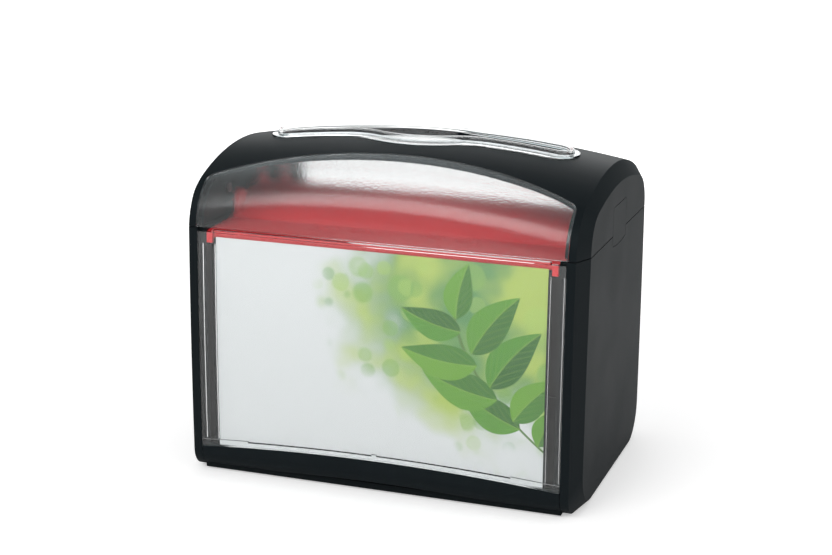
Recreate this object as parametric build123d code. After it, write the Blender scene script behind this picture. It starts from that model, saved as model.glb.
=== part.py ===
from build123d import *
import os
from math import asin, atan2, cos, pi, sin, sqrt

# Tabletop napkin dispenser, in millimetres.
# X runs across the front, -Y is the front, +Z is up, and the origin is under the middle.

# Body, across and front to back
half_width = 115.5          # middle to each flat side face
half_depth = 77.5           # middle to the fullest part of the front face
seam_z = 143.8              # height of the joint between body and lid
seam_gap = 0.5              # open line along that joint
bottom_z = 0.6              # underside of the cheeks and sills
barrel_radius = 2750.0      # the front face bulges this gently, bottom to top
barrel_z = 73.4             # height of the fullest part
corner_radius = 12.5        # front and rear bottom corners, seen from the side

# Cheeks, the two black end shells
cheek_thickness = 9.8
cheek_wall = 2.6
bevel_width = 5.0           # long shallow bevel round each side face, across
bevel_depth_seam = 12.2     # the same bevel, front to back, at the seam
bevel_depth_low = 10.5      # and at the bottom
bevel_rise = 2.0            # and under the bottom edge
side_corner_radius = 20.0   # bottom corners of the flat side face inside it
rib_thickness = 1.8
rib_places = (-36.0, 36.0)
foot_lug_length = 7.7       # lugs that the base screws bite into
foot_lug_width = 10.0
foot_lug_places = (-46.0, 0.0, 46.0)
lug_root_bite = 0.5         # how far the lugs' roots run into the cheek's floor

# Sills
sill_thickness = 1.9
sill_top_middle = 19.4
sill_top_end = 15.0
sill_low_middle = 6.2       # the arch of its foot, which dies out before the sill's ends
sill_low_end = -0.8
sill_end_gap = 0.3

# Base tray and what stands under it
tray_gap = 0.2              # between the sills and the tray behind them
tray_wall = 1.8
tray_rim_z = 16.5
tray_rim_ledge = 2.2
tray_rim_height = 3.0
tray_rim_bite = 0.3         # how far that ledge runs into the tray's wall
plate_bottom = 0.8
plate_setback = 5.5         # body's front to the front edge of the tray's flat floor
spring_post_radius = 10.2
post_wall = 1.6
foot_radius = 7.0
foot_height = 1.7
foot_recess = 0.9
foot_setback = 29.5         # from the body's end and from its front to each foot's middle
foot_edge = 0.4
screw_shank_radius = 1.3
screw_head_radius = 2.8
screw_head_height = 1.4
screw_bite = 6.5            # how far a base screw goes into its lug
screw_slot = 0.8

# Clear panels
panel_inset = 0.3
panel_thickness = 1.8
panel_top_drop = 1.2        # seam to the panel's top edge
panel_shoulder_drop = 2.4   # its corners stop a little lower, beside the bead
panel_foot_gap = 0.15
foot_strip = 1.3            # thicker strip along the panel's foot, behind its skin
strip_bite = 0.05           # how far the strip runs into the skin
foot_line_middle = 22.7     # the strip's arched top line
foot_line_end = 18.7
foot_slant = 1.2            # slanted top of the strip, in two lengths
foot_slant_end = 77.5
foot_slant_break = (-2.9, 0.0)
bead_height = 1.6           # moulded bead along the top edge
bead_depth = 1.1
panel_rib_depth = 1.3
panel_rib_width = 1.2
panel_rib_low_z = 19.9
panel_rib_top_drop = 9.4    # seam to the top of the ribs
edge_rib_inset = 1.8        # panel's end to the middle of its outer rib

# Cards and the black panels behind them
card_thickness = 0.35
card_gap = 0.15
card_foot_gap = 0.15
card_top_drop = 5.5
card_side_gap = 1.5         # card's edge to the edge of the black panel behind it
card_rib_gap = 0.3          # card's edge to the clear panel's rib
pocket_thickness = 1.1
pocket_top_drop = 6.1
pocket_gap = 0.2

# Well liners
liner_thickness = 1.6
liner_end_gap = 0.1
liner_flange_width = 4.4
liner_flange_thickness = 1.4
liner_front_gap = 0.3       # between its flanges and the clear panel's ribs
liner_top_drop = 1.0
liner_foot_gap = 0.1

# Platform that pushes the stack up
travel = 115.0
ledge_drop = 2.5            # seam to the platform's ledge at the top of its travel
plate_thickness = 2.2
platform_end_gap = 2.2
platform_front_gap = 6.5    # body's fullest front to the platform's edge
ledge_width = 33.0
dome_rise = 14.1
skirt_height = 4.6
skirt_thickness = 1.8
tab_slot_width = 4.3        # slot that each corner tab runs in
tab_side_gap = 0.5
tab_reach = 2.9
tab_drop = 6.3
upright_width = 10.0
upright_thickness = 2.6
upright_end = 1.3           # from the platform's end to the upright
upright_places = ((-32.0, 15.5), (0.0, 20.1), (32.0, 15.5))
slot_length = 13.0
slot_width = 3.6
slot_places = ((-40.5, 26.0), (-21.0, 26.0), (21.0, 28.0), (41.0, 25.5))
spring_x = 45.0
spring_seat_rise = 8.5      # ledge to the springs' seat under the dome
spring_seat_radius = 15.0
top_post_height = 7.0
stop_gap = 0.4              # between the two posts at the bottom of the travel

# Springs: each has one close turn at both ends
coil_radius = 12.4
coil_wire = 1.4
coil_turns = 9
coil_seat_gap = 0.15
close_gap = 0.5             # between the wires of a close turn
wire_sides = 6

# Lid
lid_rise = 46.6             # seam to the lid's top
crown_radius = 634.0        # of the lid's ridge, seen from the front
lid_top_radius = 158.0      # of the same ridge, seen from the side
lid_shoulder_radius = 30.0
end_rise = 27.8             # seam to the top of the flat side face
end_top_radius = 190.0
end_shoulder_radius = 20.0
lid_wall = 2.6

# Lid windows, each bonded into a rebate over a ledge of the shell
window_border = 9.2         # side face to the window's edge
window_back_y = 38.5        # middle plane to the window's back edge, at the middle
window_back_radius = 286.0  # that edge's sweep, seen from above
window_corner_radius = 6.0
window_gap = 0.12
window_thickness = 1.4
window_seat = 0.05
ledge_back_y = 43.5         # the ledge's own edge, which narrows towards the sides
ledge_back_radius = 384.0
ledge_least = 0.9

# Mouth ring
mouth_half_width = 8.0      # middle to the rim's crest
mouth_end_setback = 36.1    # side face to the centre of the rim's round end
flange_end_setback = 39.4   # and of the flange's
bulge = 9.5                 # how far the finger bulge stands out
bulge_half_length = 42.0
rim_half_thickness = 1.2
rim_height = 3.0
rim_step = 0.5              # the crest's upper edge stands in by this much
flange_reach = 7.4
flange_thickness = 0.9
flange_seat = 0.05
skirt_depth = 4.6
skirt_step = 0.6            # the skirt is thinner than the rim by this on each side
slot_clearance = 0.25
collar_depth = 1.4          # lip of the lid round the slot, below its wall
collar_thickness = 1.8

# Lid liners
lid_liner_inset = 12.1
lid_liner_thickness = 1.6
lid_liner_gap = 1.9         # to the lid's wall above it
lid_liner_foot_gap = 0.4
boss_radius = 3.0
boss_y = 40.0
boss_rise = 15.1
small_screw_radius = 1.1
small_head_radius = 2.3
small_head_height = 1.3
small_screw_bite = 4.0

# Hinge along the left end
hinge_inset = 2.9           # side face to the hinge line
hinge_rise = 3.15           # seam to the hinge line
knuckle_radius = 2.85       # the lid's knuckles and its rounded lower edge
knuckle_start = 21.0        # from the middle to where the lid's knuckles begin
knuckle_end = 57.0
hinge_lug_radius = 2.4
hinge_lug_width = 12.0
hinge_lug_y = 38.0
lug_side_gap = 0.4
lug_room = 0.35             # open line round a lug's head
pin_radius = 1.0
pin_run_clearance = 0.05
pin_fit_clearance = 0.02
pin_length = 32.0

# Release button, its carrier and the latch
button_half_width = 15.5
button_drop = 6.8           # seam to its bottom edge
button_rise = 15.8          # seam to its top edge
button_corner = 3.0
button_sag = 1.1            # its bottom edge bows down by this much
button_thickness = 2.2
button_travel = 2.0
button_gap = 0.35
button_rib = 1.4
button_rib_rise = (3.0, 12.2)
button_stop_gap = 0.4       # left between its ribs and the carrier when pressed home
latch_half_width = 8.0
latch_leg_inset = 7.4
latch_leg_thickness = 1.4
latch_web_rise = (-2.4, 1.1)
latch_nose = 1.6
latch_nose_height = 1.6
latch_play = 0.3            # between the nose and the strike above it
strike_height = 2.0
strike_thickness = 1.0
strike_gap = 0.4
strike_drop = 5.3
strike_edge = 0.25
pocket_side_gap = 0.45
pocket_wall = 1.6
pocket_depth = 8.8
carrier_wall = 1.4
carrier_back_inset = 10.2
carrier_back_thickness = 1.2
carrier_low_rise = 2.0
carrier_high_rise = 18.2
carrier_boss_inset = 6.9
carrier_tab_side = 3.7      # carrier's side to its screws
carrier_tab_rise = 10.6
carrier_tab_half = 3.2
carrier_tab_thickness = 1.4
return_spring_rise = 8.6
return_coil_radius = 2.2
return_wire = 0.5
return_turns = 4
return_post_radius = 1.4
return_post_length = 1.8

# Heights that follow from the sizes above
body_top = seam_z - seam_gap / 2
lid_low = seam_z + seam_gap / 2
plate_top = bottom_z + sill_thickness + tray_gap + tray_wall
panel_top_z = seam_z - panel_top_drop
panel_shoulder_z = seam_z - panel_shoulder_drop
card_top_z = seam_z - card_top_drop
pocket_top_z = seam_z - pocket_top_drop
liner_top_z = seam_z - liner_top_drop
ledge_z = seam_z - ledge_drop
dome_top_z = ledge_z + dome_rise
spring_seat_z = ledge_z + spring_seat_rise
spring_post_top = spring_seat_z - top_post_height - travel - stop_gap
lid_top_z = seam_z + lid_rise
end_top_z = seam_z + end_rise
boss_z = seam_z + boss_rise
hinge_z = seam_z + hinge_rise
button_low_z = seam_z - button_drop
button_top_z = seam_z + button_rise
strike_low_z = seam_z - strike_drop
pocket_floor_z = seam_z - pocket_depth
carrier_low_z = seam_z + carrier_low_rise
carrier_high_z = seam_z + carrier_high_rise
carrier_tab_z = seam_z + carrier_tab_rise
return_spring_z = seam_z + return_spring_rise

# Places across and front to back that follow from them
cheek_inner = half_width - cheek_thickness
bevel_x = half_width - bevel_width
sill_half_length = cheek_inner - sill_end_gap
plate_half_depth = half_depth - plate_setback
foot_x = half_width - foot_setback
foot_y = half_depth - foot_setback
tray_inset = sill_thickness + tray_gap
panel_back = panel_inset + panel_thickness
card_inset = panel_back + foot_strip + card_gap
pocket_inset = card_inset + card_thickness + pocket_gap
liner_x = cheek_inner - liner_end_gap
liner_flange_inner = liner_x - liner_flange_width
pocket_half_width = liner_flange_inner - tab_slot_width
card_half_width = pocket_half_width - card_side_gap
tab_inner = pocket_half_width + tab_side_gap
tab_outer = liner_flange_inner - tab_side_gap
platform_half_length = liner_x - liner_thickness - platform_end_gap
platform_half_depth = half_depth - platform_front_gap
dome_half_depth = platform_half_depth - ledge_width
window_half_width = half_width - window_border
rim_end_x = half_width - mouth_end_setback
flange_end_x = half_width - flange_end_setback
slot_grow = rim_half_thickness - skirt_step + slot_clearance
lid_liner_x = half_width - lid_liner_inset
hinge_x = hinge_inset - half_width
latch_leg_x = half_width - latch_leg_inset
carrier_back_x = half_width - carrier_back_inset
carrier_boss_x = half_width - carrier_boss_inset
carrier_half = button_half_width + button_gap + 0.05
carrier_tab_y = carrier_half + carrier_wall + carrier_tab_side
far = 2 * half_width


def face_depth(z, inset=0.0):
    """Distance from the middle plane to the bulged front face at height z."""
    return half_depth - barrel_radius + sqrt((barrel_radius - inset) ** 2 - (z - barrel_z) ** 2)


def outline(edges):
    return make_face(Curve() + edges)


def side_view(section, x0, x1):
    """A section drawn in Y and Z, run from x0 to x1."""
    return extrude(Plane.YZ.offset(x0) * section, amount=x1 - x0, dir=(1, 0, 0))


def front_view(section, y0, y1):
    """A section drawn in X and Z, run from y0 back to y1."""
    return extrude(Plane.XZ.offset(-y0) * section, amount=y1 - y0, dir=(0, 1, 0))


def block(x0, x1, y0, y1, z0, z1):
    size = Box(x1 - x0, y1 - y0, z1 - z0)
    return Pos((x0 + x1) / 2, (y0 + y1) / 2, (z0 + z1) / 2) * size


def bar_along_x(x0, x1, y, z, radius):
    turned = Rot(0, 90, 0) * Cylinder(radius, x1 - x0)
    return Pos((x0 + x1) / 2, y, z) * turned


def bar_along_y(y0, y1, x, z, radius):
    turned = Rot(90, 0, 0) * Cylinder(radius, y1 - y0)
    return Pos(x, (y0 + y1) / 2, z) * turned


def to_rear(piece):
    return mirror(piece, about=Plane.XZ)


def to_left(piece):
    return mirror(piece, about=Plane.YZ)


def front_slab(x0, x1, inset0, inset1, z0, z1):
    """A slab behind the front face that follows its bulge, between two insets."""
    middle = (z0 + z1) / 2
    outer = ThreePointArc(
        (-face_depth(z0, inset0), z0),
        (-face_depth(middle, inset0), middle),
        (-face_depth(z1, inset0), z1),
    )
    inner = ThreePointArc(
        (-face_depth(z0, inset1), z0),
        (-face_depth(middle, inset1), middle),
        (-face_depth(z1, inset1), z1),
    )
    ends = [Line(outer @ 0, inner @ 0), Line(outer @ 1, inner @ 1)]
    return side_view(outline([outer, inner] + ends), x0, x1)


def arched_edge(half, z_end, z_middle):
    return ThreePointArc((-half, z_end), (0, z_middle), (half, z_end))


def arched_region(half, low_end, low_middle, high_end, high_middle):
    """Front view between a low and a high arched line."""
    low = arched_edge(half, low_end, low_middle)
    high = arched_edge(half, high_end, high_middle)
    return outline([low, high, Line(low @ 0, high @ 0), Line(low @ 1, high @ 1)])


def cheek_section(bevel_seam=0.0, bevel_low=0.0, rise=0.0, shrink=0.0, corner=corner_radius):
    """Side view of the body: bulged front and back, rounded bottom corners, flat top."""
    low = bottom_z + rise + shrink
    high = body_top - shrink
    mid_bevel = (bevel_seam + bevel_low) / 2
    top_depth = face_depth(high, shrink) - bevel_seam
    mid_depth = face_depth(barrel_z, shrink) - mid_bevel
    low_depth = face_depth(low, shrink) - bevel_low
    front = ThreePointArc((-top_depth, high), (-mid_depth, barrel_z), (-low_depth, low))
    rear = ThreePointArc((top_depth, high), (mid_depth, barrel_z), (low_depth, low))
    caps = [Line(front @ 0, rear @ 0), Line(front @ 1, rear @ 1)]
    shape = outline([front, rear] + caps)
    return fillet(shape.vertices().group_by(Axis.Y)[0], corner - shrink)


def bare_cheek():
    """The right-hand cheek before its fittings: a ribbed shell, open towards the well."""
    core = cheek_section()
    rim = cheek_section(bevel_depth_seam, bevel_depth_low, bevel_rise, 0.0, side_corner_radius)
    straight = side_view(core, cheek_inner, bevel_x)
    bevelled = loft([Plane.YZ.offset(bevel_x) * core, Plane.YZ.offset(half_width) * rim], ruled=True)
    shell = straight + bevelled
    wide = cheek_section(shrink=cheek_wall)
    narrow = cheek_section(bevel_depth_seam, bevel_depth_low, bevel_rise, cheek_wall, side_corner_radius)
    shell -= side_view(wide, cheek_inner, bevel_x - 1.0)
    shell -= side_view(narrow, cheek_inner, half_width - cheek_wall)
    keep = side_view(wide, cheek_inner + rib_thickness, half_width - cheek_wall)
    for y in rib_places:
        rib = block(cheek_inner, half_width, y - rib_thickness / 2, y + rib_thickness / 2, 0, seam_z)
        shell += rib & keep & side_view(narrow, cheek_inner, half_width)
    for y in foot_lug_places:
        half = foot_lug_width / 2
        lug_x, root_x, wall_x = cheek_inner - foot_lug_length, cheek_inner, half_width - cheek_wall
        root_z = bottom_z + cheek_wall - lug_root_bite
        lug = block(lug_x, wall_x, y - half, y + half, plate_top, tray_rim_z)
        root = block(root_x, wall_x, y - half, y + half, root_z, tray_rim_z)
        shell += lug + root
    for y in foot_lug_places:
        shell -= Pos(base_screw_x(), y, plate_top) * pilot_hole()
    return shell


def base_screw_x():
    return cheek_inner - foot_lug_length / 2 - 0.3


def pilot_hole():
    depth = screw_bite + 0.4
    return Pos(0, 0, depth / 2) * Cylinder(screw_shank_radius + 0.02, depth)


def left_cheek():
    """The left cheek, with the two lugs that the lid's pins run in."""
    cheek = to_left(bare_cheek())
    for side in (-1, 1):
        y0 = side * hinge_lug_y - hinge_lug_width / 2
        y1 = side * hinge_lug_y + hinge_lug_width / 2
        head = bar_along_y(y0, y1, hinge_x, hinge_z, hinge_lug_radius)
        r = hinge_lug_radius
        neck = block(hinge_x - r, hinge_x + r, y0, y1, body_top - cheek_wall, hinge_z)
        cheek += head + neck
        cheek -= bar_along_y(y0 - 1, y1 + 1, hinge_x, hinge_z, pin_radius + pin_run_clearance)
    return cheek


def button_outline(grow=0.0):
    """Side view of the release button: rounded corners and a bottom edge that bows down."""
    half = button_half_width + grow
    low = button_low_z - grow
    high = button_top_z + grow
    bottom = ThreePointArc((-half, low + button_sag), (0, low), (half, low + button_sag))
    top = Line((-half, high), (half, high))
    sides = [Line(bottom @ 0, top @ 0), Line(bottom @ 1, top @ 1)]
    shape = outline([bottom, top] + sides)
    return fillet(shape.vertices(), button_corner + grow)


def right_cheek():
    """The right cheek, with the pocket that takes the lower part of the button."""
    cheek = bare_cheek()
    half = button_half_width + pocket_side_gap
    outer = half + pocket_wall
    inner_x = half_width - cheek_wall
    tub = block(cheek_inner, inner_x, -outer, outer, pocket_floor_z - pocket_wall, body_top)
    cheek += tub
    cheek -= block(cheek_inner - 1, inner_x, -half, half, pocket_floor_z, seam_z + 1)
    cheek -= side_view(button_outline(button_gap), inner_x - 0.5, half_width + 1)
    return cheek


def latch_strike():
    """A steel bar across the pocket, which the button's nose hooks under."""
    half = button_half_width + pocket_side_gap
    x0 = latch_leg_x + latch_leg_thickness + strike_gap
    bar = block(x0, x0 + strike_thickness, -half, half, strike_low_z, strike_low_z + strike_height)
    return chamfer(bar.edges().filter_by(Axis.Y), strike_edge)


def sill():
    """The arched front trim, which curves back under at its foot."""
    band = side_view(cheek_section(), -sill_half_length, sill_half_length)
    band -= side_view(cheek_section(shrink=sill_thickness), -sill_half_length, sill_half_length)
    face = arched_region(sill_half_length, sill_low_end, sill_low_middle, sill_top_end, sill_top_middle)
    return band & front_view(face, -far, -plate_half_depth - 0.1)


def base_tray():
    """A shallow tub that joins the cheeks, with posts for the lift springs."""
    tub = side_view(cheek_section(shrink=tray_inset), -sill_half_length, sill_half_length)
    tub -= side_view(cheek_section(shrink=tray_inset + tray_wall), -sill_half_length, sill_half_length)
    tub &= block(-far, far, -far, far, 0, tray_rim_z)
    ledge = front_slab(
        -sill_half_length, sill_half_length,
        tray_inset + tray_wall - tray_rim_bite, tray_inset + tray_wall + tray_rim_ledge,
        tray_rim_z - tray_rim_height, tray_rim_z,
    )
    tray = tub + ledge + to_rear(ledge)
    plate = block(
        -sill_half_length, sill_half_length, -plate_half_depth, plate_half_depth, plate_bottom, plate_top,
    )
    tray += plate
    for side in (-1, 1):
        tray += Pos(side * spring_x, 0, plate_top - 0.1) * spring_post(spring_post_top - plate_top + 0.1)
        for y in foot_lug_places:
            hole = Cylinder(screw_shank_radius + 0.3, far)
            head = Cylinder(screw_head_radius + 0.3, 2 * screw_head_height)
            tray -= Pos(side * base_screw_x(), y, plate_bottom) * (hole + head)
        for front in (-1, 1):
            recess = Cylinder(foot_radius + 0.1, 2 * foot_recess)
            tray -= Pos(side * foot_x, front * foot_y, plate_bottom) * recess
    return tray


def spring_post(height):
    """A hollow post that a lift spring fits over, standing on z = 0."""
    post = Cylinder(spring_post_radius, height) - Cylinder(spring_post_radius - post_wall, far)
    return Pos(0, 0, height / 2) * post


def rubber_feet():
    feet = []
    for x in (-foot_x, foot_x):
        for y in (-foot_y, foot_y):
            foot = Pos(x, y, foot_height / 2) * Cylinder(foot_radius, foot_height)
            feet.append(chamfer(foot.edges().group_by(Axis.Z)[0], foot_edge))
    return Compound(children=feet)


def base_screws():
    screws = []
    for side in (-1, 1):
        for y in foot_lug_places:
            seat = plate_bottom + screw_head_height
            shank_length = plate_top - seat + screw_bite
            shank = Pos(0, 0, seat + shank_length / 2) * Cylinder(screw_shank_radius, shank_length)
            head = Pos(0, 0, seat - screw_head_height / 2) * Cylinder(screw_head_radius, screw_head_height)
            slot = Box(3 * screw_head_radius, screw_slot, screw_slot)
            screw = shank + head - Pos(0, 0, plate_bottom) * slot
            screws.append(Pos(side * base_screw_x(), y, 0) * screw)
    return Compound(children=screws)


def clear_panel():
    """The clear front cover: a skin with an arched foot, a thicker strip behind the foot,
    a bead along the top and ribs beside the card."""
    panel = front_slab(-sill_half_length, sill_half_length, panel_inset, panel_back, 0, panel_top_z)
    panel += foot_strip_bar()
    panel &= front_view(
        arched_region(
            sill_half_length, sill_top_end + panel_foot_gap, sill_top_middle + panel_foot_gap,
            far, far + 1,
        ),
        -far, 0,
    )
    panel += front_slab(
        -pocket_half_width, pocket_half_width, panel_back, panel_back + bead_depth,
        panel_top_z - bead_height, panel_top_z,
    )
    inner_rib = card_half_width + card_rib_gap + panel_rib_width / 2
    outer_rib = sill_half_length - edge_rib_inset
    for side in (-1, 1):
        for x in (inner_rib, outer_rib):
            x0 = side * x - panel_rib_width / 2
            panel += front_slab(
                x0, x0 + panel_rib_width, panel_back, panel_back + panel_rib_depth,
                panel_rib_low_z, seam_z - panel_rib_top_drop,
            )
        x0, x1 = sorted((side * sill_half_length, side * pocket_half_width))
        panel -= block(x0, x1, -far, 0, panel_shoulder_z, far)
    return panel


def foot_strip_bar():
    """The strip along the foot of the clear panel, curved about a far line below it. Its
    top is square at the ends and at a short break, and slants back along two lengths."""
    rise = foot_line_middle - foot_line_end
    radius = (sill_half_length**2 + rise**2) / (2 * rise)
    hub = Axis((0, 0, foot_line_middle - radius), (0, 1, 0))
    half_turn = 1.05 * asin(sill_half_length / radius) * 180 / pi
    skin_y = -face_depth(foot_line_middle, panel_back)
    back_y = skin_y + foot_strip
    top = foot_line_middle
    low = tray_rim_z - 2 * rise
    square = Polyline(
        (skin_y - strip_bite, low), (skin_y - strip_bite, top), (back_y, top), (back_y, low), close=True,
    )
    corner = Polyline(
        (skin_y - 0.2 * foot_strip, top + 0.2 * foot_slant), (back_y + foot_strip, top + 0.2 * foot_slant),
        (back_y + foot_strip, top - 2 * foot_slant), close=True,
    )
    strip = revolve(Plane.YZ * make_face(square), axis=hub, revolution_arc=2 * half_turn)
    wedge = revolve(Plane.YZ * make_face(corner), axis=hub, revolution_arc=2 * half_turn)
    strip = strip.rotate(hub, -half_turn)
    wedge = wedge.rotate(hub, -half_turn)
    strip &= block(-sill_half_length, sill_half_length, -far, 0, tray_rim_z + liner_foot_gap, far)
    for x0, x1 in ((-foot_slant_end, foot_slant_break[0]), (foot_slant_break[1], foot_slant_end)):
        strip -= wedge & block(x0, x1, -far, 0, 0, far)
    return strip


def card():
    """The display card, which stands on the tray's rim behind the clear panel."""
    return front_slab(
        -card_half_width, card_half_width, card_inset, card_inset + card_thickness,
        tray_rim_z + card_foot_gap, card_top_z,
    )


def pocket_panel():
    """The back wall of the card pocket, between the card and the stack."""
    return front_slab(
        -pocket_half_width, pocket_half_width, pocket_inset, pocket_inset + pocket_thickness,
        tray_rim_z + liner_foot_gap, pocket_top_z,
    )


def well_liner():
    """Right-hand channel of the well: its flanges and the pocket panels leave the slots
    that the platform's tabs run in."""
    front = panel_back + panel_rib_depth + liner_front_gap
    depth = front + liner_flange_thickness
    low = tray_rim_z + liner_foot_gap
    flange = front_slab(liner_flange_inner, liner_x, front, depth, low, liner_top_z)
    edges = []
    for side in (-1, 1):
        edges.append(ThreePointArc(
            (side * face_depth(low, depth), low),
            (side * face_depth(barrel_z, depth), barrel_z),
            (side * face_depth(liner_top_z, depth), liner_top_z),
        ))
    edges += [Line(edges[0] @ 0, edges[1] @ 0), Line(edges[0] @ 1, edges[1] @ 1)]
    web = side_view(outline(edges), liner_x - liner_thickness, liner_x)
    return web + flange + to_rear(flange)


def platform():
    """The red plate under the stack: a ledge all round, a dome along the middle, tabs at
    the corners, uprights at the ends and flat seats for the springs."""
    under = ledge_z - plate_thickness
    rise = dome_top_z - ledge_z
    radius = (dome_half_depth**2 + rise**2) / (2 * rise)
    centre = dome_top_z - radius
    inner_radius = radius - plate_thickness
    inner_half = sqrt(inner_radius**2 - (under - centre) ** 2)
    top_dome = ThreePointArc((-dome_half_depth, ledge_z), (0, dome_top_z), (dome_half_depth, ledge_z))
    low_dome = ThreePointArc((-inner_half, under), (0, dome_top_z - plate_thickness), (inner_half, under))
    d = platform_half_depth
    edges = [
        top_dome, low_dome,
        Line((-d, ledge_z), (-dome_half_depth, ledge_z)), Line((dome_half_depth, ledge_z), (d, ledge_z)),
        Line((-d, under), (-inner_half, under)), Line((inner_half, under), (d, under)),
        Line((-d, under), (-d, ledge_z)), Line((d, under), (d, ledge_z)),
    ]
    plate = side_view(outline(edges), -platform_half_length, platform_half_length)
    solid_dome = outline([top_dome, Line((-dome_half_depth, ledge_z), (dome_half_depth, ledge_z))])
    skirt = block(-platform_half_length, platform_half_length, -d, d, ledge_z - skirt_height, ledge_z - 1)
    skirt -= block(
        -platform_half_length + skirt_thickness, platform_half_length - skirt_thickness,
        -d + skirt_thickness, d - skirt_thickness, 0, ledge_z,
    )
    plate += skirt
    for side in (-1, 1):
        x1 = side * platform_half_length
        x0 = x1 - side * plate_thickness
        plate += side_view(solid_dome, min(x0, x1), max(x0, x1))
        plate += block(min(x0, x1), max(x0, x1), -d, d, under, ledge_z)
    plate += platform_uprights() + platform_tabs()
    for x, edge in slot_places:
        y = d - edge
        for side in (-1, 1):
            cutter = extrude(SlotOverall(slot_length, slot_width), amount=2 * plate_thickness, both=True)
            plate -= Pos(x, side * y, ledge_z) * cutter
    inside_dome = side_view(solid_dome, -platform_half_length, platform_half_length)
    for side in (-1, 1):
        seat = Cylinder(spring_seat_radius, far) & block(-far, far, -far, far, -1, far / 4)
        seat = Pos(side * spring_x, 0, spring_seat_z + 1) * seat
        plate += seat & inside_dome
        plate += Pos(side * spring_x, 0, spring_seat_z - top_post_height) * spring_post(top_post_height + 0.1)
    return plate


def platform_uprights():
    """Three round-topped uprights at each end, which stop the stack from sliding."""
    found = []
    for y, rise in upright_places:
        shape = Pos(y, ledge_z - 1 + (rise + 1) / 2) * Rectangle(upright_width, rise + 1)
        shape = fillet(shape.vertices().group_by(Axis.Y)[-1], upright_width * 0.45)
        x1 = platform_half_length - upright_end
        right = side_view(shape, x1 - upright_thickness, x1)
        found += [right, to_left(right)]
    return found


def platform_tabs():
    tab = block(
        tab_inner, tab_outer, -platform_half_depth - tab_reach, -platform_half_depth + skirt_thickness,
        ledge_z - tab_drop, ledge_z,
    )
    return [tab, to_left(tab), to_rear(tab), to_rear(to_left(tab))]


def coil_points(radius, wire, turns, length):
    """Half-turn points of a spring's centre line, and the direction at each."""
    close_rise = wire + close_gap
    open_rise = (length - wire - 2 * close_rise) / (turns - 2)
    points = []
    for step in range(2 * turns + 1):
        turn = step / 2
        height = close_rise * min(turn, 1) + open_rise * min(max(turn - 1, 0), turns - 2)
        height += close_rise * max(turn - (turns - 1), 0)
        slope = (close_rise if turn <= 1 or turn >= turns - 1 else open_rise) / (2 * pi)
        angle = 2 * pi * turn
        place = Vector(radius * cos(angle), radius * sin(angle), wire / 2 + height)
        points.append((place, Vector(-radius * sin(angle), radius * cos(angle), slope).normalized()))
    return points


def two_arcs(start, start_way, end, end_way):
    """Two arcs that meet smoothly, from one point and direction to the next."""
    gap = end - start
    both = start_way + end_way
    a = 2 * (start_way.dot(end_way) - 1)
    b = -2 * gap.dot(both)
    c = gap.dot(gap)
    reach = (-b - sqrt(b * b - 4 * a * c)) / (2 * a)
    near = start + start_way * reach
    beyond = end - end_way * reach
    meet = (near + beyond) * 0.5
    first = TangentArc([start, meet], tangent=start_way)
    return [first, TangentArc([meet, end], tangent=beyond - near)]


def coil(name, radius, wire, turns, length):
    """One unbroken wire coiled along +Z from z = 0, with a close turn at each end."""
    points = coil_points(radius, wire, turns, length)
    path = []
    for (start, start_way), (end, end_way) in zip(points, points[1:]):
        path += two_arcs(start, start_way, end, end_way)
    line = Wire(path)
    measure_gap(name, line, wire, turns)
    ring = Plane(origin=line @ 0, z_dir=line % 0) * RegularPolygon(wire / 2, wire_sides)
    return sweep(ring, path=line, clean=False)


def measure_gap(name, line, wire, turns):
    """Print the least gap between a coil's neighbouring turns, measured on points."""
    count = 24 * turns
    points = [line @ (i / count) for i in range(count + 1)]
    least = min(
        (points[i] - points[j]).length
        for i in range(count + 1)
        for j in range(i + 16, min(i + 40, count + 1))
    )
    print(name, "least gap to itself", round(least - wire, 2), "mm")


def lift_spring(side):
    length = spring_seat_z - plate_top - 2 * coil_seat_gap
    spring = coil("lift spring", coil_radius, coil_wire, coil_turns, length)
    return Pos(side * spring_x, 0, plate_top + coil_seat_gap) * spring


def return_spring():
    start = carrier_back_x + carrier_back_thickness + 0.1
    end = half_width - button_thickness - 0.1
    spring = coil("button spring", return_coil_radius, return_wire, return_turns, end - start)
    return Pos(start, 0, return_spring_z) * (Rot(0, 90, 0) * spring)


def arch_section(half, top, top_radius, shoulder_radius, floor):
    """Side view of a lid: upright walls, round shoulders and a shallow arched top."""
    shoulder_y = half - shoulder_radius
    top_centre = top - top_radius
    shoulder_z = top_centre + sqrt((top_radius - shoulder_radius) ** 2 - shoulder_y**2)
    lean = atan2(shoulder_y, shoulder_z - top_centre)
    meet = (top_radius * sin(lean), top_centre + top_radius * cos(lean))
    crest = (top_radius * sin(lean / 2), top_centre + top_radius * cos(lean / 2))
    middle = (lean + pi / 2) / 2
    bend = (shoulder_y + shoulder_radius * sin(middle), shoulder_z + shoulder_radius * cos(middle))
    return outline([
        Line((-half, floor), (half, floor)),
        Line((half, floor), (half, shoulder_z)),
        ThreePointArc((half, shoulder_z), bend, meet),
        ThreePointArc(meet, crest, (0, top)),
        ThreePointArc((0, top), (-crest[0], crest[1]), (-meet[0], meet[1])),
        ThreePointArc((-meet[0], meet[1]), (-bend[0], bend[1]), (-half, shoulder_z)),
        Line((-half, shoulder_z), (-half, floor)),
    ])


def crown(grow=0.0):
    """The lid's main form: its side view swung about a far line below, grown by an offset."""
    section = arch_section(
        face_depth(seam_z) + grow, lid_top_z + grow, lid_top_radius + grow, lid_shoulder_radius + grow,
        body_top - 14,
    )
    return swing_about_hub(section)


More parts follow.
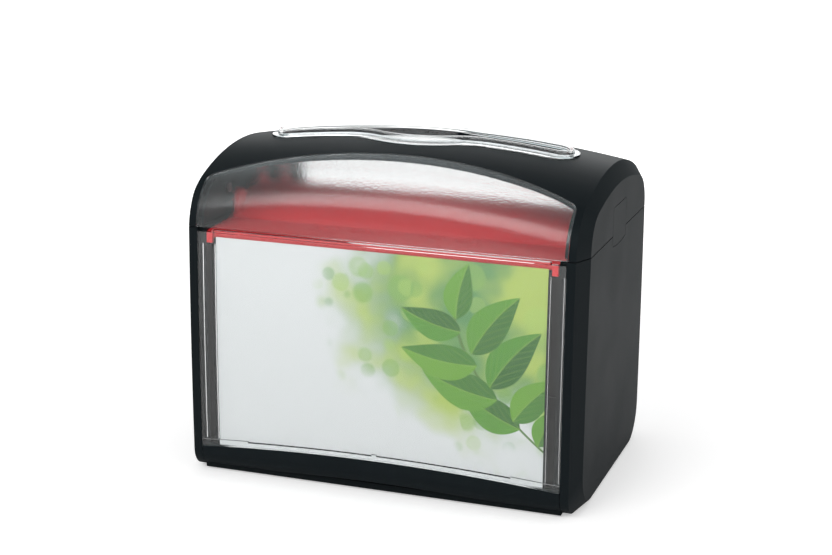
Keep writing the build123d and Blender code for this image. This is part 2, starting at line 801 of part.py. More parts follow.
def swing_about_hub(section):
    """A side view swung about the far line below the lid, past both ends of the body."""
    hub = Axis((0, 0, lid_top_z - crown_radius), (0, 1, 0))
    half_turn = 1.2 * asin(half_width / (end_top_z - lid_top_z + crown_radius)) * 180 / pi
    swung = revolve(Plane.YZ * section, axis=hub, revolution_arc=2 * half_turn)
    return swung.rotate(hub, -half_turn)


def end_taper(inset=0.0):
    """What the crown is trimmed to at its right end: the bevel round the flat side face."""
    stretch = 1.4
    half = face_depth(seam_z) - bevel_depth_seam
    seam_drop = crown_radius - sqrt(crown_radius**2 - bevel_x**2)
    crown_end_z = lid_top_z - seam_drop
    near = arch_section(
        half + stretch * bevel_depth_seam - inset,
        end_top_z + stretch * (crown_end_z - end_top_z) - inset,
        end_top_radius + stretch * (lid_top_radius - end_top_radius) - inset,
        end_shoulder_radius + stretch * (lid_shoulder_radius - end_shoulder_radius) - inset,
        body_top - 14,
    )
    outer = arch_section(
        half - inset, end_top_z - inset, end_top_radius - inset, end_shoulder_radius - inset, body_top - 14
    )
    x0 = half_width - stretch * bevel_width - inset
    x1 = half_width - inset
    return loft([Plane.YZ.offset(x0) * near, Plane.YZ.offset(x1) * outer], ruled=True)


def lid_form(inset=0.0):
    """The whole lid as a solid, or its hollow when inset by the wall."""
    taper = end_taper(inset)
    x0 = half_width - 1.4 * bevel_width - inset
    middle = block(-x0, x0, -far, far, body_top - 20, far)
    form = crown(-inset) & (middle + taper + to_left(taper))
    return form - block(-far, far, -far, far, 0, lid_low)


def window_plan(half, back_y, radius, corner):
    """Plan of a front opening: its sides run forwards and its back edge is swept."""
    side_y = -back_y - radius + sqrt(radius**2 - half**2)
    back = ThreePointArc((-half, side_y), (0, -back_y), (half, side_y))
    sides = [Line((-half, -far), back @ 0), Line((half, -far), back @ 1)]
    shape = outline([back, Line((-half, -far), (half, -far))] + sides)
    return fillet(shape.vertices().group_by(Axis.Y)[-1], corner)


def window_block(grow=0.0):
    """The front window's outline, grown by an offset and stood up as a tall block."""
    plan = window_plan(
        window_half_width + grow, window_back_y - grow, window_back_radius + grow, window_corner_radius + grow
    )
    return extrude(Pos(0, 0, body_top - 5) * plan, amount=far, dir=(0, 0, 1))


def window_opening():
    """The hole inside the ledge that the window rests on."""
    plan = window_plan(
        window_half_width, ledge_back_y, ledge_back_radius, window_corner_radius - ledge_least
    )
    swept = extrude(Pos(0, 0, body_top - 5) * plan, amount=far, dir=(0, 0, 1))
    return swept & window_block(-ledge_least)


def lid_window():
    """The frosted front window: a thin pane flush with the lid, from its back edge down
    to the seam."""
    pane = (window_block(-window_gap) & crown()) - crown(-window_thickness)
    return pane - block(-far, far, -far, far, 0, lid_low)


def mouth_outline(grow, end_x):
    """Plan of the slot's rim: long, with round ends and a finger bulge on each side.
    grow is measured outwards from the rim's crest."""
    half = mouth_half_width + grow
    swing = (bulge_half_length**2 / 4 + bulge**2 / 4) / bulge
    turn = asin(bulge_half_length / 2 / swing)
    valley_y = mouth_half_width + swing
    valley = swing - grow
    meet = (bulge_half_length - valley * sin(turn), valley_y - valley * cos(turn))
    bend = (bulge_half_length - valley * sin(turn / 2), valley_y - valley * cos(turn / 2))
    peak = mouth_half_width + bulge + grow
    edges = []
    for s in (-1, 1):
        edges += [
            Line((-end_x, s * half), (-bulge_half_length, s * half)),
            ThreePointArc((-bulge_half_length, s * half), (-bend[0], s * bend[1]), (-meet[0], s * meet[1])),
            ThreePointArc((-meet[0], s * meet[1]), (0, s * peak), (meet[0], s * meet[1])),
            ThreePointArc((meet[0], s * meet[1]), (bend[0], s * bend[1]), (bulge_half_length, s * half)),
            Line((bulge_half_length, s * half), (end_x, s * half)),
            ThreePointArc((s * end_x, -half), (s * (end_x + half), 0), (s * end_x, half)),
        ]
    return outline(edges)


def mouth_prism(grow, end_x=rim_end_x):
    return extrude(Pos(0, 0, end_top_z) * mouth_outline(grow, end_x), amount=far, dir=(0, 0, 1))


def ridge(grow=0.0):
    """The top of the crown alone, wide enough for the slot and its ring, grown by an offset."""
    half = window_back_y + 1.5
    radius = lid_top_radius + grow
    top = lid_top_z + grow
    centre = top - radius
    side_z = centre + sqrt(radius**2 - half**2)
    mid_z = centre + sqrt(radius**2 - half**2 / 4)
    base = end_top_z - 2 * skirt_depth
    section = outline([
        ThreePointArc((-half, side_z), (-half / 2, mid_z), (0, top)),
        ThreePointArc((0, top), (half / 2, mid_z), (half, side_z)),
        Line((half, side_z), (half, base)),
        Line((half, base), (-half, base)),
        Line((-half, base), (-half, side_z)),
    ])
    return swing_about_hub(section)


def mouth_ring():
    """The clear ring round the slot: a flange on the lid, a raised rim with a stepped crest,
    and a skirt inside."""
    wide = rim_half_thickness
    crest = wide - rim_step
    low_rim = rim_height - rim_step
    ring = mouth_prism(flange_reach, flange_end_x) & ridge(flange_seat + flange_thickness)
    ring += mouth_prism(wide) & ridge(low_rim)
    ring += mouth_prism(crest) & ridge(rim_height)
    ring -= ridge(flange_seat)
    skirt = mouth_prism(wide - skirt_step) & ridge(flange_seat + 0.1)
    ring += skirt - ridge(-skirt_depth)
    ring -= mouth_prism(-wide)
    return ring - (mouth_prism(-crest) - ridge(low_rim))


def lid_shell():
    """The black lid: crowned shell with a rebated opening for each window, the slot with
    its lip, the rolled hinge edge on the left and the opening for the button on the right."""
    shell = lid_form() - lid_form(lid_wall)
    opening = window_opening()
    rebate = window_block() - crown(-window_thickness - window_seat)
    for cut in (opening, rebate):
        shell -= cut
        shell -= to_rear(cut)
    slot = mouth_prism(slot_grow)
    lip = (mouth_prism(slot_grow + collar_thickness) - slot) & crown(-lid_wall + 0.2)
    lip -= crown(-lid_wall - collar_depth)
    shell = shell + lip - slot
    shell = add_bosses(shell)
    shell = add_hinge(shell)
    shell -= side_view(button_outline(button_gap), half_width - lid_wall - 0.5, half_width + 1)
    return shell


def add_bosses(shell):
    """Bosses on the end walls for the liners' and the carrier's screws."""
    x1 = half_width - lid_wall + 0.5
    x0 = lid_liner_x + lid_liner_thickness
    for y in (-boss_y, boss_y):
        boss = bar_along_x(x0, x1, y, boss_z, boss_radius)
        boss -= bar_along_x(x0 - 1, x0 + small_screw_bite + 0.4, y, boss_z, small_screw_radius + 0.02)
        shell += [boss, to_left(boss)]
    for y in (-carrier_tab_y, carrier_tab_y):
        boss = bar_along_x(carrier_boss_x, x1, y, carrier_tab_z, boss_radius - 0.4)
        hole = bar_along_x(
            carrier_boss_x - 1, carrier_boss_x + small_screw_bite - 1, y, carrier_tab_z, small_screw_radius + 0.02
        )
        shell += boss - hole
    return shell


def add_hinge(shell):
    """The left edge is rounded about the hinge line and carries four knuckles, with room
    for the cheek's lugs between them."""
    corner = block(-far, hinge_x, -far, far, 0, hinge_z)
    corner -= bar_along_y(-far, far, hinge_x, hinge_z, knuckle_radius)
    shell -= corner
    room = hinge_lug_radius + lug_room
    for side in (-1, 1):
        ends = sorted((side * knuckle_start, side * knuckle_end))
        shell += bar_along_y(*ends, hinge_x, hinge_z, knuckle_radius)
        half = hinge_lug_width / 2 + lug_side_gap
        y0 = side * hinge_lug_y - half
        y1 = side * hinge_lug_y + half
        shell -= block(-far, hinge_x + knuckle_radius + 1, y0, y1, 0, hinge_z)
        shell -= bar_along_y(y0, y1, hinge_x, hinge_z, room)
        shell -= block(-far, hinge_x, y0, y1, hinge_z - 1, hinge_z + room)
        ends = sorted((side * (knuckle_start - 1), side * (hinge_lug_y + pin_length / 2)))
        shell -= bar_along_y(*ends, hinge_x, hinge_z, pin_radius + pin_fit_clearance)
    return shell


def hinge_pins():
    pins = []
    for side in (-1, 1):
        y = side * hinge_lug_y
        pin = bar_along_y(y - pin_length / 2 + 0.1, y + pin_length / 2, hinge_x, hinge_z, pin_radius)
        pins.append(chamfer(pin.edges().filter_by(GeomType.CIRCLE), 0.3))
    return Compound(children=pins)


def lid_liner():
    """Right-hand inner wall of the lid, screwed to the end wall's bosses."""
    plate = crown(-lid_wall - lid_liner_gap) & block(
        lid_liner_x, lid_liner_x + lid_liner_thickness, -far, far, lid_low + lid_liner_foot_gap, far
    )
    for y in (-boss_y, boss_y):
        plate -= bar_along_x(0, far, y, boss_z, small_screw_radius + 0.2)
    return plate


def small_screw(x, y, z):
    """A small screw seated at x and driven outwards along +X."""
    head = bar_along_x(x - small_head_height, x, y, z, small_head_radius)
    shank = bar_along_x(x, x + small_screw_bite, y, z, small_screw_radius)
    slot = block(x - small_head_height - 1, x - small_head_height + 0.5, y - 1.6, y + 1.6, z - 0.3, z + 0.3)
    return head + shank - slot


def lid_screws():
    screws = []
    for y in (-boss_y, boss_y):
        screw = small_screw(lid_liner_x, y, boss_z)
        screws += [screw, to_left(screw)]
    for y in (-carrier_tab_y, carrier_tab_y):
        screws.append(small_screw(carrier_boss_x - carrier_tab_thickness, y, carrier_tab_z))
    return Compound(children=screws)


def button_carrier():
    """Guides the button inside the lid: back plate, two cheeks, a roof and two screw tabs."""
    half = carrier_half
    outer = half + carrier_wall
    inner_x = half_width - lid_wall - 0.2
    back = block(
        carrier_back_x, carrier_back_x + carrier_back_thickness, -outer, outer, carrier_low_z, carrier_high_z
    )
    carrier = back
    for side in (-1, 1):
        y0 = min(side * half, side * outer)
        carrier += block(carrier_back_x, inner_x, y0, y0 + carrier_wall, carrier_low_z, carrier_high_z)
    carrier += block(carrier_back_x, inner_x, -outer, outer, carrier_high_z - carrier_wall, carrier_high_z)
    for side in (-1, 1):
        y0 = min(side * (outer - 0.2), side * (carrier_tab_y + carrier_tab_half))
        y1 = max(side * (outer - 0.2), side * (carrier_tab_y + carrier_tab_half))
        tab = block(
            carrier_boss_x - carrier_tab_thickness, carrier_boss_x, y0, y1,
            carrier_tab_z - carrier_tab_half, carrier_tab_z + carrier_tab_half,
        )
        tab -= bar_along_x(0, far, side * carrier_tab_y, carrier_tab_z, small_screw_radius + 0.2)
        carrier += tab
    carrier -= bar_along_x(
        carrier_back_x - 1, carrier_back_x + carrier_back_thickness + 1, 0, return_spring_z, return_post_radius - 0.2
    )
    return carrier


def release_button():
    """The button: a face plate, guide ribs, a spring post and the leg with the latch nose."""
    inner = half_width - button_thickness
    button = side_view(button_outline(), inner, half_width)
    rib_x = carrier_back_x + carrier_back_thickness + button_travel + button_stop_gap
    for side in (-1, 1):
        y1 = side * button_half_width
        y0 = y1 - side * button_rib
        button += block(
            rib_x, inner + 0.2, min(y0, y1), max(y0, y1),
            seam_z + button_rib_rise[0], seam_z + button_rib_rise[1],
        )
    button += bar_along_x(inner - return_post_length, inner + 0.2, 0, return_spring_z, return_post_radius)
    w = latch_half_width
    web_low = seam_z + latch_web_rise[0]
    button += block(latch_leg_x, inner + 0.2, -w, w, web_low, seam_z + latch_web_rise[1])
    nose_top = strike_low_z - latch_play
    nose_low = nose_top - latch_nose_height
    leg_out = latch_leg_x + latch_leg_thickness
    button += block(latch_leg_x, leg_out, -w, w, nose_low, web_low + 1)
    nose = Polyline(
        (leg_out, nose_top), (leg_out + latch_nose, nose_top), (leg_out + latch_nose, nose_top - 0.5),
        (leg_out, nose_low), close=True,
    )
    button += front_view(make_face(nose), -w, w)
    return button


def write_parts():
    os.makedirs("parts", exist_ok=True)
    front_sill = sill()
    front_clear = clear_panel()
    front_card = card()
    front_pocket = pocket_panel()
    right_well = well_liner()
    front_window = lid_window()
    right_lid_liner = lid_liner()
    pieces = {
        "left_cheek": left_cheek(),
        "right_cheek": right_cheek(),
        "latch_strike": latch_strike(),
        "front_sill": front_sill,
        "rear_sill": to_rear(front_sill),
        "base_tray": base_tray(),
        "rubber_feet": rubber_feet(),
        "base_screws": base_screws(),
        "front_clear_panel": front_clear,
        "rear_clear_panel": to_rear(front_clear),
        "front_card": front_card,
        "rear_card": to_rear(front_card),
        "front_pocket_panel": front_pocket,
        "rear_pocket_panel": to_rear(front_pocket),
        "left_well_liner": to_left(right_well),
        "right_well_liner": right_well,
        "pusher_platform": platform(),
        "left_lift_spring": lift_spring(-1),
        "right_lift_spring": lift_spring(1),
        "lid_shell": lid_shell(),
        "front_lid_window": front_window,
        "rear_lid_window": to_rear(front_window),
        "mouth_ring": mouth_ring(),
        "left_lid_liner": to_left(right_lid_liner),
        "right_lid_liner": right_lid_liner,
        "lid_screws": lid_screws(),
        "hinge_pins": hinge_pins(),
        "button_carrier": button_carrier(),
        "release_button": release_button(),
        "button_spring": return_spring(),
    }
    for name, shape in pieces.items():
        export_step(shape, f"parts/{name}.step")
        print(name, len(shape.solids()), "solids")


write_parts()
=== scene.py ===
import math

import bpy
from mathutils import Matrix, Vector


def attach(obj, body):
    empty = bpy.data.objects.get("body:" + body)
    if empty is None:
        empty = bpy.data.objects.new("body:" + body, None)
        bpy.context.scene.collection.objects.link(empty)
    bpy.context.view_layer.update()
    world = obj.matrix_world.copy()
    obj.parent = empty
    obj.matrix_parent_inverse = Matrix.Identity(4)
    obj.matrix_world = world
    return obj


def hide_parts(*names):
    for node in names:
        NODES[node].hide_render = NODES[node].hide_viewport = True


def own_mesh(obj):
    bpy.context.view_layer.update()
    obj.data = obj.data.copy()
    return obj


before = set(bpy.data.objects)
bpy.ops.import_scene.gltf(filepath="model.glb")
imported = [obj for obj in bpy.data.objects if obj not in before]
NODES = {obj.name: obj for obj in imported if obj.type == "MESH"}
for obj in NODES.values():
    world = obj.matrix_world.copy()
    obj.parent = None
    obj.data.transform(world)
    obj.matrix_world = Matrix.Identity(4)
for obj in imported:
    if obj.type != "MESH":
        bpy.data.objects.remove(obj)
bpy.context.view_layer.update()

MM = 0.001

# Camera: where it stands, which way it looks, and its lens
CAMERA_YAW = math.radians(19.17)
CAMERA_PITCH = math.radians(15.47)
CAMERA_ROLL = math.radians(0.47)
CAMERA_DISTANCE = 1.05628
CAMERA_TARGET = Vector((-0.00351, 0.0, 0.10503))
SENSOR_WIDTH = 36.0
CAMERA_LENS = 78.81

# How bright the studio is: for surfaces, and in their gloss in front of and behind the object.
# Only the camera and what is seen through clear plastic meet it as plain white.
WORLD_LIGHT = 0.55
GLOSS_FRONT = 0.36
GLOSS_BACK = 0.24
GLOSS_COLOUR = (0.86, 0.97, 1.0, 1)

# Each lamp: name, place, the point it faces, width and height, watts
LAMPS = (
    ("key", (-0.45, -1.3, 1.2), (0, 0, 0.1), (1.0, 0.7), 9.8),
    ("side", (1.5, 0.3, 0.7), (0, 0, 0.1), (0.8, 0.8), 3),
    ("back", (-0.2, 1.3, 0.6), (0, 0, 0.12), (1.2, 0.6), 4),
)

# Floor: its size, how far it lies below the feet, and where its added white starts and ends
FLOOR_SIZE = 8.0
FLOOR_DROP = 0.0002
FLOOR_FADE = (0.25, 1.2)
FLOOR_WHITE = (0.42, 1.0)

# Black plastic: the cool tint of its gloss
COOL = (0.82, 0.97, 1.0, 1)
# How deep the moulded grain, the etched frost and the card's fibre are
GRAIN_DEPTH = 0.0003
ETCH_DEPTH = 0.00012
FIBRE_DEPTH = 0.0001

# Card artwork, in millimetres on the card as seen from its own front
CARD_WHITE = (0.775, 0.772, 0.772, 1)
GLOW_CENTRE = (68.0, 116.0)
GLOW_REACH = (108.0, 84.0)
DISC_CELL = 21.0
# Each layer of discs: the cell that holds one, how large it is in its cell, how strongly it shows
DISC_LAYERS = ((DISC_CELL, 0.30, 0.62), (0.62 * DISC_CELL, 0.34, 0.5))
CARD_FIBRE = (0.735, 0.738, 0.74, 1)
GLOW_GREEN = ((0.42, 0.55, 0.06, 1), (0.05, 0.25, 0.04, 1))
DISC_GREEN = ((0.56, 0.70, 0.16, 1), (0.09, 0.33, 0.06, 1))
VEIN_GREEN = (0.30, 0.50, 0.07, 1)
STEM_GREEN = (0.10, 0.21, 0.04, 1)
# The stem passes through these points
STEM = ((99.0, 34.0), (70.0, 60.0), (44.0, 108.0))
# Each leaf: x and z where its stalk meets the stem, turn in degrees, length, half-width, tone
LEAVES = (
    (82.0, 48.0, 150.0, 40.0, 11.0, 0.30),
    (78.0, 52.0, 46.0, 36.0, 10.5, 0.75),
    (69.0, 63.0, 163.0, 45.0, 12.0, 0.55),
    (64.5, 69.5, 50.0, 44.0, 12.0, 0.20),
    (57.5, 81.0, 172.0, 44.0, 11.5, 0.80),
    (54.0, 87.5, 52.0, 43.0, 12.0, 0.40),
    (48.0, 99.0, 163.0, 36.0, 10.0, 0.25),
    (45.0, 106.0, 78.0, 32.0, 9.5, 0.65),
    (92.0, 39.5, 62.0, 26.0, 8.0, 0.50),
)


class Graph:
    """A short way to write a material's nodes."""

    def __init__(self, owner):
        self.owner = owner
        owner.use_nodes = True
        self.tree = owner.node_tree
        self.tree.nodes.clear()

    def node(self, kind, inputs=None, **settings):
        made = self.tree.nodes.new("ShaderNode" + kind)
        for name, value in settings.items():
            setattr(made, name, value)
        for name, value in (inputs or {}).items():
            socket = made.inputs[name]
            if isinstance(value, bpy.types.NodeSocket):
                self.tree.links.new(value, socket)
            else:
                socket.default_value = value
        return made

    def math(self, operation, a, b=0.0, c=0.0):
        return self.node("Math", {0: a, 1: b, 2: c}, operation=operation).outputs[0]

    def mix(self, factor, a, b):
        made = self.node("Mix", data_type="RGBA")
        for socket, value in ((made.inputs[0], factor), (made.inputs[6], a), (made.inputs[7], b)):
            if isinstance(value, bpy.types.NodeSocket):
                self.tree.links.new(value, socket)
            else:
                socket.default_value = value
        return made.outputs[2]

    def place(self):
        """The point being shaded, in the piece's own frame."""
        return self.node("TexCoord").outputs["Object"]

    def noise(self, scale, detail=2.0, roughness=0.5, vector=None):
        inputs = {"Scale": scale, "Detail": detail, "Roughness": roughness}
        inputs["Vector"] = vector or self.place()
        return self.node("TexNoise", inputs).outputs["Fac"]

    def spread(self, value, low, high, out_low, out_high):
        inputs = {
            "Value": value, "From Min": low, "From Max": high,
            "To Min": out_low, "To Max": out_high,
        }
        return self.node("MapRange", inputs).outputs["Result"]

    def bump(self, height, strength, distance, normal=None):
        inputs = {"Height": height, "Strength": strength, "Distance": distance}
        if normal:
            inputs["Normal"] = normal
        return self.node("Bump", inputs).outputs["Normal"]

    def length(self, vector):
        return self.node("VectorMath", {0: vector}, operation="LENGTH").outputs["Value"]

    def combine(self, x, y, z):
        return self.node("CombineXYZ", {"X": x, "Y": y, "Z": z}).outputs[0]

    def parts(self, vector):
        split = self.node("SeparateXYZ", {"Vector": vector}).outputs
        return split["X"], split["Y"], split["Z"]

    def soft_step(self, value, low, high):
        inputs = {"Value": value, "From Min": low, "From Max": high}
        return self.node("MapRange", inputs, interpolation_type="SMOOTHSTEP").outputs["Result"]

    def finish(self, shader):
        self.node("OutputMaterial", {"Surface": shader})
        return self.owner


def moulded(name, colour, roughness, grain_scale, grain, specular=0.5, tinge=(1, 1, 1, 1)):
    """Moulded plastic: a fine grain, and slight changes of gloss over the surface."""
    g = Graph(bpy.data.materials.new(name))
    fine = g.noise(grain_scale, 3.0, 0.6)
    broad = g.noise(22.0, 2.0)
    darker = tuple(0.82 * c for c in colour) + (1,)
    tint = g.mix(broad, darker, colour + (1,))
    uneven = g.math("ADD", g.math("MULTIPLY", fine, 0.5), broad)
    gloss = g.spread(uneven, 0.3, 1.2, roughness - 0.05, roughness + 0.06)
    normal = g.bump(fine, grain, GRAIN_DEPTH)
    inputs = {
        "Base Color": tint, "Roughness": gloss, "Normal": normal,
        "Specular IOR Level": specular, "Specular Tint": tinge,
    }
    return g.finish(g.node("BsdfPrincipled", inputs).outputs[0])


def lets_lamps_through(g, shader, tint):
    """Lamps shine through the plastic, so that what stands behind it is lit."""
    clear = g.node("BsdfTransparent", {"Color": tint}).outputs[0]
    path = g.node("LightPath").outputs["Is Shadow Ray"]
    mixer = g.node("MixShader", {"Fac": path})
    g.tree.links.new(shader, mixer.inputs[1])
    g.tree.links.new(clear, mixer.inputs[2])
    return mixer.outputs[0]


def clear_plastic(name, colour):
    """Clear moulded plastic, with a few fine scratches in the gloss."""
    g = Graph(bpy.data.materials.new(name))
    wear = g.noise(160.0, 4.0, 0.7)
    gloss = g.spread(wear, 0.45, 0.8, 0.01, 0.07)
    inputs = {"Base Color": colour, "Roughness": gloss, "Transmission Weight": 1.0, "IOR": 1.49}
    shader = g.node("BsdfPrincipled", inputs).outputs[0]
    return g.finish(lets_lamps_through(g, shader, (0.9, 0.92, 0.92, 1)))


def frosted_plastic():
    """Frosted window: a fine etched grain that blurs what stands behind it."""
    g = Graph(bpy.data.materials.new("frosted_plastic"))
    etch = g.noise(900.0, 1.0, 0.5)
    gloss = g.spread(etch, 0.3, 0.7, 0.11, 0.17)
    normal = g.bump(etch, 0.6, ETCH_DEPTH)
    inputs = {
        "Base Color": (0.80, 0.81, 0.81, 1), "Roughness": gloss, "Normal": normal,
        "Transmission Weight": 0.98, "IOR": 1.35,
    }
    shader = g.node("BsdfPrincipled", inputs).outputs[0]
    return g.finish(lets_lamps_through(g, shader, (0.9, 0.91, 0.91, 1)))


def leaf(g, x, z, place, canvas):
    """Paint one pointed oval leaf over the canvas colour."""
    root_x, root_z, turn, length, half, tone = place
    cosine, sine = math.cos(math.radians(turn)), math.sin(math.radians(turn))
    dx = g.math("SUBTRACT", x, root_x)
    dz = g.math("SUBTRACT", z, root_z)
    along = g.math(
        "ADD", g.math("MULTIPLY", dx, cosine / length), g.math("MULTIPLY", dz, sine / length),
    )
    arc = g.math("MULTIPLY", along, g.math("SUBTRACT", 1.0, along))
    across = g.math("ADD", g.math("MULTIPLY", dx, -sine), g.math("MULTIPLY", dz, cosine))
    across = g.math("SUBTRACT", across, g.math("MULTIPLY", arc, 0.22 * length))
    inside = g.math("POWER", g.math("MAXIMUM", arc, 0.0), 0.8)
    swell = g.math("MULTIPLY", inside, g.math("ADD", g.math("MULTIPLY", along, -0.9), 1.45))
    off = g.math("ABSOLUTE", across)
    edge = g.math("SUBTRACT", g.math("MULTIPLY", swell, 2.55 * half), off)
    mask = g.soft_step(edge, 0.0, 0.45)
    side = g.soft_step(across, -0.5, 0.5)
    veins = g.math("ADD", g.math("MULTIPLY", along, 7.0), g.math("MULTIPLY", off, -3.4 / half))
    veins = g.math("PINGPONG", veins, 0.5)
    rib = g.soft_step(off, 0.55, 0.15)
    line = g.math("MAXIMUM", g.soft_step(veins, 0.07, 0.01), rib)
    dark = (0.012 + 0.05 * tone, 0.11 + 0.13 * tone, 0.006 + 0.006 * tone, 1)
    light = (0.05 + 0.12 * tone, 0.25 + 0.14 * tone, 0.010 + 0.010 * tone, 1)
    body = g.mix(side, dark, light)
    body = g.mix(g.math("MULTIPLY", line, 0.45), body, VEIN_GREEN)
    return g.mix(mask, canvas, body)


def card_print(name, flip):
    """Printed card: soft green discs in one corner behind a spray of simple leaves."""
    g = Graph(bpy.data.materials.new(name))
    px, _, pz = g.parts(g.place())
    x = g.math("MULTIPLY", px, flip / MM)
    z = g.math("MULTIPLY", pz, 1 / MM)
    flat = g.combine(x, z, 0.0)
    fibre = g.noise(420.0, 3.0, 0.6)
    canvas = g.mix(fibre, CARD_FIBRE, CARD_WHITE)

    drift = g.noise(0.028, 2.0, 0.5, flat)
    away_x = g.math("DIVIDE", g.math("SUBTRACT", x, GLOW_CENTRE[0]), GLOW_REACH[0])
    away_z = g.math("DIVIDE", g.math("SUBTRACT", z, GLOW_CENTRE[1]), GLOW_REACH[1])
    away = g.length(g.combine(away_x, away_z, 0.0))
    away = g.math("ADD", away, g.spread(drift, 0.3, 0.7, -0.22, 0.22))
    glow = g.soft_step(away, 1.02, 0.50)
    green = g.mix(g.soft_step(drift, 0.35, 0.62), *GLOW_GREEN)
    canvas = g.mix(g.math("MULTIPLY", glow, 0.92), canvas, green)

    for cell, low, strength in DISC_LAYERS:
        spots = g.node("TexVoronoi", {"Vector": flat, "Scale": 1.0 / cell, "Randomness": 0.85})
        disc = g.soft_step(spots.outputs["Distance"], low + 0.10, low)
        pick = g.parts(spots.outputs["Color"])[0]
        shade = g.mix(pick, *DISC_GREEN)
        chosen = g.math("MULTIPLY", g.soft_step(pick, 0.25, 0.35), g.soft_step(away, 1.05, 0.75))
        shown = g.math("MULTIPLY", g.math("MULTIPLY", disc, chosen), strength)
        canvas = g.mix(shown, canvas, shade)

    canvas = stem(g, x, z, canvas)
    for place in LEAVES:
        canvas = leaf(g, x, z, place, canvas)
    inputs = {"Base Color": canvas, "Roughness": 0.5, "Normal": g.bump(fibre, 0.03, FIBRE_DEPTH)}
    return g.finish(g.node("BsdfPrincipled", inputs).outputs[0])


def stem(g, x, z, canvas):
    """A thin curved stem: where it runs, x follows z on a parabola through three points."""
    (x0, z0), (x1, z1), (x2, z2) = STEM
    slope = (x1 - x0) / (z1 - z0)
    curve = ((x2 - x1) / (z2 - z1) - slope) / (z2 - z0)
    step = g.math("SUBTRACT", z, z0)
    line = g.math("ADD", g.math("MULTIPLY", step, slope), x0)
    bow = g.math("MULTIPLY", step, g.math("SUBTRACT", z, z1))
    line = g.math("ADD", line, g.math("MULTIPLY", bow, curve))
    off = g.math("ABSOLUTE", g.math("SUBTRACT", x, line))
    mask = g.math("MULTIPLY", g.soft_step(off, 1.1, 0.7), g.soft_step(z, z2 + 1.0, z2 - 1.0))
    mask = g.math("MULTIPLY", mask, g.soft_step(z, z0 - 8.0, z0 - 6.0))
    return g.mix(mask, canvas, STEM_GREEN)


def steel_wire(name, roughness):
    """Plain steel, drawn or turned, with slight changes of gloss."""
    g = Graph(bpy.data.materials.new(name))
    drawn = g.noise(600.0, 2.0)
    tint = g.mix(drawn, (0.42, 0.43, 0.44, 1), (0.62, 0.63, 0.64, 1))
    inputs = {
        "Base Color": tint, "Metallic": 1.0,
        "Roughness": g.spread(drawn, 0.3, 0.7, roughness - 0.05, roughness + 0.08),
    }
    return g.finish(g.node("BsdfPrincipled", inputs).outputs[0])


def dress(material, *names):
    """Give the named nodes one material."""
    for name in names:
        mesh = NODES[name].data
        mesh.materials.clear()
        mesh.materials.append(material)


BLACK_SATIN = moulded("black_satin", (0.0098, 0.0135, 0.0158), 0.44, 1400.0, 0.1, 0.075, COOL)
BLACK_MATT = moulded("black_matt", (0.0080, 0.0105, 0.0118), 0.60, 1100.0, 0.2, 0.1, COOL)
RED_PLASTIC = moulded("red_plastic", (0.80, 0.032, 0.04), 0.42, 1200.0, 0.08, 0.25)
RUBBER = moulded("rubber", (0.018, 0.018, 0.018), 0.8, 700.0, 0.3, 0.3)
CLEAR = clear_plastic("clear_plastic", (0.955, 0.96, 0.96, 1))
RING_CLEAR = clear_plastic("ring_plastic", (0.80, 0.81, 0.81, 1))
FROSTED = frosted_plastic()
FRONT_PRINT = card_print("front_card_print", 1.0)
REAR_PRINT = card_print("rear_card_print", -1.0)
STEEL = steel_wire("steel", 0.3)

dress(BLACK_SATIN, "left_cheek", "right_cheek", "front_sill", "rear_sill", "lid_shell", "release_button")
dress(
    BLACK_MATT, "base_tray", "front_pocket_panel", "rear_pocket_panel", "left_well_liner",
    "right_well_liner", "left_lid_liner", "right_lid_liner", "button_carrier",
)
dress(RED_PLASTIC, "pusher_platform")
dress(RUBBER, "rubber_feet")
dress(CLEAR, "front_clear_panel", "rear_clear_panel")
dress(RING_CLEAR, "mouth_ring")
dress(FROSTED, "front_lid_window", "rear_lid_window")
dress(FRONT_PRINT, "front_card")
dress(REAR_PRINT, "rear_card")
dress(
    STEEL, "base_screws", "lid_screws", "hinge_pins", "latch_strike", "left_lift_spring",
    "right_lift_spring", "button_spring",
)


def pressed_spring(name, body):
    """A copy of the coil, carried by the given body, in place of the original, which is hidden."""
    coil = NODES[name].copy()
    coil.data = NODES[name].data.copy()
    coil.name = name + "_coil"
    bpy.context.collection.objects.link(coil)
    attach(coil, body)
    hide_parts(name)
    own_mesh(coil)


pressed_spring("left_lift_spring", "housing")
pressed_spring("right_lift_spring", "housing")
pressed_spring("button_spring", "lid")


def studio_camera():
    """The camera that was fitted to the photograph."""
    yaw, pitch, roll = CAMERA_YAW, CAMERA_PITCH, CAMERA_ROLL
    level = math.cos(pitch)
    back = Vector((math.sin(yaw) * level, -math.cos(yaw) * level, math.sin(pitch)))
    right = (-back).cross(Vector((0, 0, 1))).normalized()
    up = back.cross(right)
    rolled_right = right * math.cos(roll) + up * math.sin(roll)
    rolled_up = up * math.cos(roll) - right * math.sin(roll)
    place = CAMERA_TARGET + back * CAMERA_DISTANCE
    turn = Matrix((rolled_right, rolled_up, back)).transposed()
    data = bpy.data.cameras.new("camera")
    data.sensor_width = SENSOR_WIDTH
    data.lens = CAMERA_LENS
    camera = bpy.data.objects.new("camera", data)
    camera.matrix_world = Matrix.Translation(place) @ turn.to_4x4()
    bpy.context.collection.objects.link(camera)
    bpy.context.scene.camera = camera


def soft_lamp(name, place, target, size, watts):
    """A white rectangular lamp at a place, facing a target."""
    data = bpy.data.lights.new(name, "AREA")
    data.shape = "RECTANGLE"
    data.size, data.size_y = size
    data.energy = watts
    lamp = bpy.data.objects.new(name, data)
    lamp.location = place
    way = Vector(target) - Vector(place)
    lamp.rotation_euler = way.to_track_quat("-Z", "Y").to_euler()
    bpy.context.collection.objects.link(lamp)


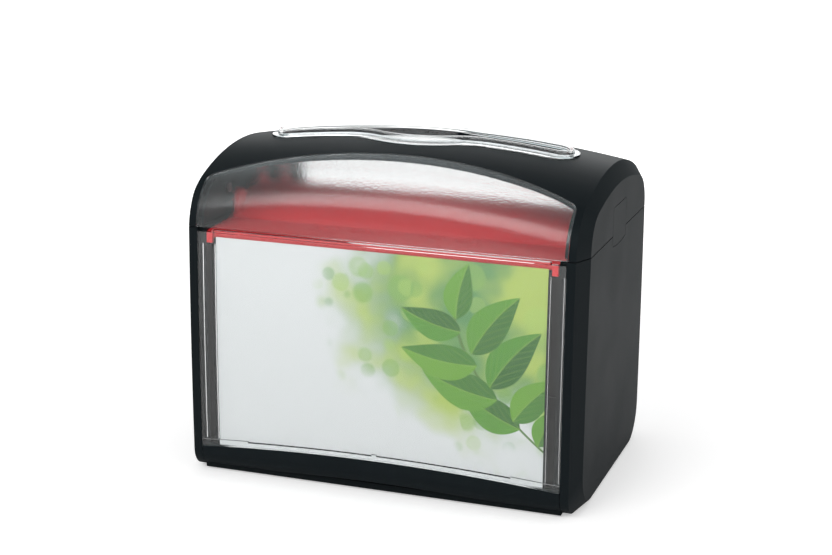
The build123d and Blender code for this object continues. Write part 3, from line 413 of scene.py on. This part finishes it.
def pale_floor():
    """A pale floor that takes the object's shadow, and fades to white away from it."""
    bpy.ops.mesh.primitive_plane_add(size=FLOOR_SIZE, location=(0, 0, -FLOOR_DROP))
    floor = bpy.context.object
    floor.name = "floor"
    g = Graph(bpy.data.materials.new("pale_floor"))
    tint = g.mix(g.noise(3.0), (0.88, 0.88, 0.88, 1), (0.92, 0.92, 0.92, 1))
    inputs = {"Base Color": tint, "Roughness": 0.8, "Specular IOR Level": 0.2}
    shader = g.node("BsdfPrincipled", inputs).outputs[0]
    path = g.node("LightPath").outputs
    seen = g.math("MAXIMUM", path["Is Camera Ray"], path["Is Transmission Ray"])
    lift = g.math("MULTIPLY", g.spread(g.length(g.place()), *FLOOR_FADE, *FLOOR_WHITE), seen)
    white = g.node("Emission", {"Color": (1, 1, 1, 1), "Strength": lift}).outputs[0]
    both = g.node("AddShader")
    g.tree.links.new(shader, both.inputs[0])
    g.tree.links.new(white, both.inputs[1])
    floor.data.materials.append(g.finish(both.outputs[0]))


def white_world():
    """White where it is seen, and a dimmer even light for surfaces and their gloss."""
    world = bpy.data.worlds.new("studio")
    bpy.context.scene.world = world
    g = Graph(world)
    path = g.node("LightPath").outputs
    seen = g.math("MAXIMUM", path["Is Camera Ray"], path["Is Transmission Ray"])
    rearward = g.parts(g.node("TexCoord").outputs["Generated"])[1]
    gloss = g.spread(rearward, -0.3, 0.8, GLOSS_FRONT, GLOSS_BACK)
    level = g.math("MULTIPLY", path["Is Glossy Ray"], g.math("SUBTRACT", gloss, WORLD_LIGHT))
    level = g.math("ADD", level, WORLD_LIGHT)
    level = g.math("ADD", level, g.math("MULTIPLY", seen, g.math("SUBTRACT", 1.0, level)))
    colour = g.mix(path["Is Glossy Ray"], (1, 1, 1, 1), GLOSS_COLOUR)
    light = g.node("Background", {"Color": colour, "Strength": level})
    g.node("OutputWorld", {"Surface": light.outputs[0]})


studio_camera()
pale_floor()
white_world()
for lamp in LAMPS:
    soft_lamp(*lamp)

bpy.context.scene.view_settings.view_transform = "Standard"
